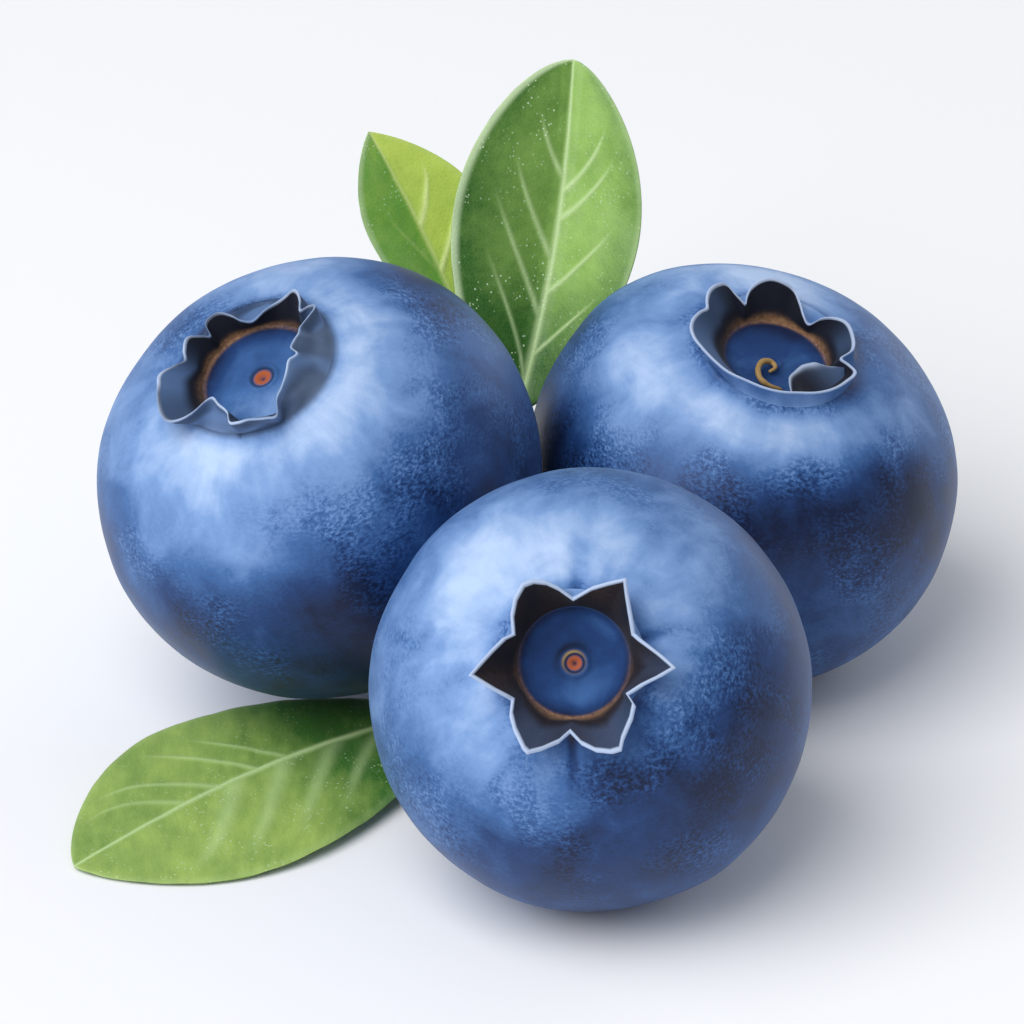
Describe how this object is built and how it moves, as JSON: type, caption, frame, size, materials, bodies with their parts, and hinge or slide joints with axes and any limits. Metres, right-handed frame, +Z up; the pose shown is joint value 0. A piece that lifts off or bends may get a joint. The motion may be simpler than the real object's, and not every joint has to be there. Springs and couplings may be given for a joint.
{
  "type": "blueberry sprig",
  "caption": "Sprig of ripe blueberries with calyx crowns, joined by short stalks to a leafy woody twig, lying on its side.",
  "frame": {"origin": "middle of the sprig's bounding box at the level of the surface that it lies on", "axes": "+Z up from the surface, +X from the left berry towards the right berry, +Y from the front berry towards the twig's cut end"},
  "size_m": [0.0344, 0.0426, 0.0194],
  "materials": {
    "berry_skin": "blue fruit skin under a pale wax bloom, rubbed dark in places",
    "leaf": "smooth green leaf, satin, with pale veins",
    "berry_stalk": "green to reddish young stalk, satin",
    "bark": "thin matt bark with lenticels"
  },
  "bodies": {
    "root": {"berry_front": "berry_skin", "berry_left": "berry_skin", "berry_right": "berry_skin", "leaf_upper_large": "leaf", "leaf_upper_small": "leaf", "leaf_lower": "leaf", "pedicel_front": "berry_stalk", "pedicel_left": "berry_stalk", "pedicel_right": "berry_stalk", "twig": "bark"}
  },
  "joints": []
}
